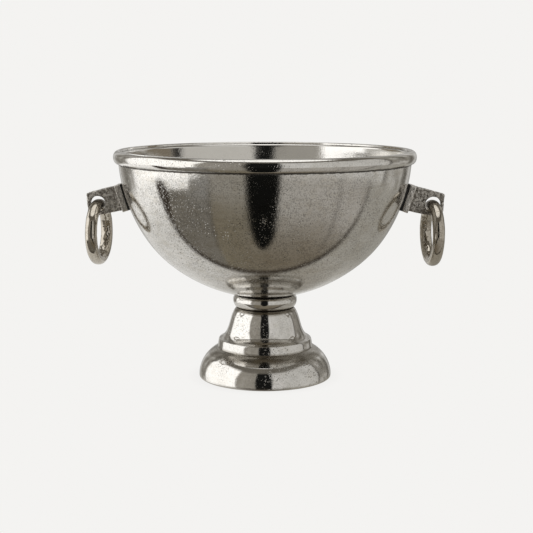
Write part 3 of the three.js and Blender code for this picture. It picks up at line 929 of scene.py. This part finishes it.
def table_colour(k, at):
    """What the underside of the bowl sees: a white table top that ends just in front of the foot, the
    darker studio beyond it, a bright diffuser low on the left, and the dark gap behind the camera."""
    x, y, z = k.xyz(at)
    # beyond the table, left and right of the middle
    left = k.mix(k.step(x, -0.55, -0.10), (0.15, 0.138, 0.112), (0.215, 0.196, 0.158))
    left = k.mix(k.step(y, -0.16, -0.42), (0.19, 0.165, 0.122), left)
    right = k.mix(k.step(y, -0.14, -0.48), (0.20, 0.172, 0.132), (0.41, 0.392, 0.362))
    right = k.mix(k.step(x, 0.10, 0.42), right, (0.42, 0.400, 0.370))
    ahead = k.mix(k.step(x, -0.10, 0.12), left, right)
    # two screens on the left meet along a line, and the one nearer the middle is the lighter
    split = k.sub(k.mul(x, 1.27), y)
    nearer = k.mix(k.step(y, -0.26, -0.66), (0.195, 0.171, 0.126), (0.300, 0.282, 0.248))
    farther = k.mix(k.step(y, -0.24, -0.60), (0.182, 0.168, 0.143), (0.275, 0.266, 0.250))
    screens = k.mix(k.step(split, -0.010, 0.010), farther, nearer)
    screens = k.mix(k.mul(k.mul(k.step(split, -0.020, -0.004), k.step(split, 0.020, 0.004)), k.mul(k.step(x, -0.10, -0.20), 0.85)), screens, (0.10, 0.092, 0.08))
    ahead = k.mix(k.step(x, -0.04, -0.12), ahead, screens)
    bright = k.mul(k.step(k.add(x, k.mul(y, 0.5845)), -0.87, -0.95), k.step(k.sub(y, k.mul(x, 0.70)), -0.030, 0.000))
    ahead = k.mix(bright, ahead, (1.05, 1.04, 1.02))
    # a joint between two screens on the right
    seam = k.math("ABSOLUTE", k.add(k.add(y, 0.031), k.mul(x, 0.614)))
    seam = k.mul(k.step(k.sub(seam, k.mul(x, 0.022)), 0.010, 0.0), k.step(x, 0.14, 0.22))
    ahead = k.mix(k.mul(seam, 0.42), ahead, (0.10, 0.09, 0.08))
    ax = k.math("ABSOLUTE", x)
    reach = k.sub(k.mul(y, -1.0), 0.205)
    half = k.add(k.mul(reach, 0.235), k.mul(k.sub(1.0, k.math("EXPONENT", k.mul(reach, -28.0))), 0.029))
    gap = k.mul(k.step(k.sub(ax, half), 0.010, -0.010), k.step(y, -0.205, -0.222))
    ahead = k.mix(gap, ahead, (0.006, 0.006, 0.0055))
    # the table top
    top = k.mix(k.step(x, -0.75, -0.30), (1.10, 1.09, 1.07), (0.76, 0.75, 0.725))
    top = k.mix(k.step(x, 0.02, 0.24), top, (0.38, 0.365, 0.33))
    radius = k.math("SQRT", k.add(k.mul(x, x), k.mul(y, y)))
    # painted shadow of the bucket on the table top: darker round the foot, most of all to its right
    top = k.mix(k.mul(k.step(radius, 0.26, 0.10), k.range(x, -0.13, 0.01, 0.15, 1.0)), top, (0.36, 0.34, 0.30))
    top = k.mix(k.step(y, 0.6, 1.6), top, (0.55, 0.54, 0.52))
    # its front edge, a dark line of painted shade that thickens to the left
    edge = k.add(-0.107, k.mul(k.step(x, -0.30, -0.75), -0.12))
    colour = k.mix(k.step(k.sub(y, edge), 0.006, -0.010), (0.055, 0.045, 0.035), ahead)
    colour = k.mix(k.step(y, -0.094, -0.078), colour, top)
    return colour


table = plane("studio_table_card", 4.0, -0.0002)
table_mat = glow("table_card", table_colour)
# a ray that skims the card passes on to the studio walls
tk = table_mat.node_tree
clear, blend, lay = tk.nodes.new("ShaderNodeBsdfTransparent"), tk.nodes.new("ShaderNodeMixShader"), tk.nodes.new("ShaderNodeLayerWeight")
skim = tk.nodes.new("ShaderNodeMapRange")
skim.inputs["From Min"].default_value, skim.inputs["From Max"].default_value = 0.71, 0.775
tk.links.new(lay.outputs["Facing"], skim.inputs["Value"])
tk.links.new(skim.outputs["Result"], blend.inputs[0])
glowing = next(n for n in tk.nodes if n.type == "EMISSION")
output = next(n for n in tk.nodes if n.type == "OUTPUT_MATERIAL")
tk.links.new(glowing.outputs[0], blend.inputs[1])
tk.links.new(clear.outputs[0], blend.inputs[2])
tk.links.new(blend.outputs[0], output.inputs[0])
table.data.materials.append(table_mat)
table.visible_camera = False
table.visible_shadow = False


def mouth_colour(k, at):
    """The screens as the inside of the bowl sees them: nearer than the foot does, so they end sooner.
    A ray off the far wall meets this band at one and a half times its own bearing."""
    x, y, z = k.xyz(at)
    az = k.mul(k.math("DEGREES", k.math("ARCTAN2", x, k.mul(y, -1.0))), 1.0 / 1.5)

    def between(low, high, soft):
        return k.mul(k.step(az, low - soft, low + soft), k.step(az, high + soft, high - soft))

    c = k.mix(k.step(az, 86.0, 89.0), (0.56, 0.545, 0.515), (0.21, 0.18, 0.138))
    c = k.mix(between(77.0, 87.0, 1.2), c, (0.02, 0.018, 0.016))
    c = k.mix(between(-49.0, -8.0, 1.5), c, (0.36, 0.345, 0.315))
    c = k.mix(between(-92.0, -49.0, 1.5), c, (1.42, 1.41, 1.39))
    return k.mix(between(-8.0, 9.5, 1.0), c, (0.010, 0.010, 0.0095))


band_v = [(0.171 * math.cos(2 * math.pi * i / 96), 0.171 * math.sin(2 * math.pi * i / 96), z) for z in (0.2915, 0.350) for i in range(96)]
band_me = bpy.data.meshes.new("studio_mouth_band")
band_me.from_pydata(band_v, [], [(i, 96 + i, 96 + (i + 1) % 96, (i + 1) % 96) for i in range(96)])
mouth = bpy.data.objects.new("studio_mouth_band", band_me)
bpy.context.scene.collection.objects.link(mouth)
mouth_mat = glow("mouth_band", mouth_colour)
# lit on its inner side only; from outside, rays pass through it
mk = mouth_mat.node_tree
clear, blend, side_of = mk.nodes.new("ShaderNodeBsdfTransparent"), mk.nodes.new("ShaderNodeMixShader"), mk.nodes.new("ShaderNodeNewGeometry")
glowing = next(n for n in mk.nodes if n.type == "EMISSION")
output = next(n for n in mk.nodes if n.type == "OUTPUT_MATERIAL")
mk.links.new(side_of.outputs["Backfacing"], blend.inputs[0])
mk.links.new(glowing.outputs[0], blend.inputs[1])
mk.links.new(clear.outputs[0], blend.inputs[2])
mk.links.new(blend.outputs[0], output.inputs[0])
mouth.data.materials.append(mouth_mat)
for seen_by in ("visible_camera", "visible_diffuse", "visible_transmission", "visible_shadow"):
    setattr(mouth, seen_by, False)


world = bpy.data.worlds.new("studio")
bpy.context.scene.world = world
world.use_nodes = True
w = Nodes(world.node_tree)
back = w.new("ShaderNodeBackground")
out = w.new("ShaderNodeOutputWorld")
world.node_tree.links.new(back.outputs[0], out.inputs[0])
way = w.new("ShaderNodeTexCoord").outputs["Generated"]
wx, wy, wz = w.xyz(way)
az = w.math("DEGREES", w.math("ARCTAN2", wx, w.mul(wy, -1.0)))
el = w.math("DEGREES", w.math("ARCSINE", wz))


def sector(low, high, soft=2.0):
    return w.mul(w.step(az, low - soft, low + soft), w.step(az, high + soft, high - soft))


env = (0.30, 0.285, 0.255, 1.0)
env = w.mix(sector(-124, -50, 3.0), env, (1.42, 1.41, 1.39))
env = w.mix(sector(-50, 0, 3.0), env, (0.33, 0.31, 0.275))
env = w.mix(sector(0, 108), env, (0.615, 0.605, 0.58))
env = w.mix(sector(17, 34, 3.0), env, (0.68, 0.67, 0.65))
env = w.mix(w.step(w.math("ABSOLUTE", az), 146.0, 158.0), env, (0.50, 0.49, 0.47))
# no studio is even: slow light and dark patches, strongest behind the object, away from the screens
uneven = w.noise(w.vec(w.mul(wx, 4.2), w.mul(wy, 4.2), w.mul(wz, 2.2)), 1.0, 2.0, 0.55)
unlit = w.add(w.mul(w.step(w.math("ABSOLUTE", az), 100.0, 126.0), 0.84), 0.16)
unlit = w.mul(unlit, w.sub(1.0, w.mul(sector(-124, -50, 3.0), 0.8)))
env = w.mix(w.mul(w.range(uneven, 0.50, 0.36, 0.0, 0.70), unlit), env, (0.09, 0.082, 0.068))
env = w.mix(w.mul(w.range(uneven, 0.53, 0.65, 0.0, 0.45), unlit), env, (0.95, 0.94, 0.92))
env = w.mix(sector(107, 110, 1.0), env, (0.10, 0.09, 0.08))
env = w.mix(sector(-14.5, 13.5, 1.2), env, (0.010, 0.010, 0.0095))
env = w.mix(w.step(el, 39.0, 46.0), env, (0.16, 0.147, 0.125))
env = w.mix(w.step(el, 58.0, 66.0), env, (1.30, 1.29, 1.27))
seen = w.new("ShaderNodeLightPath").outputs["Is Camera Ray"]
w.put(w.mix(seen, env, PALE), back.inputs["Color"])
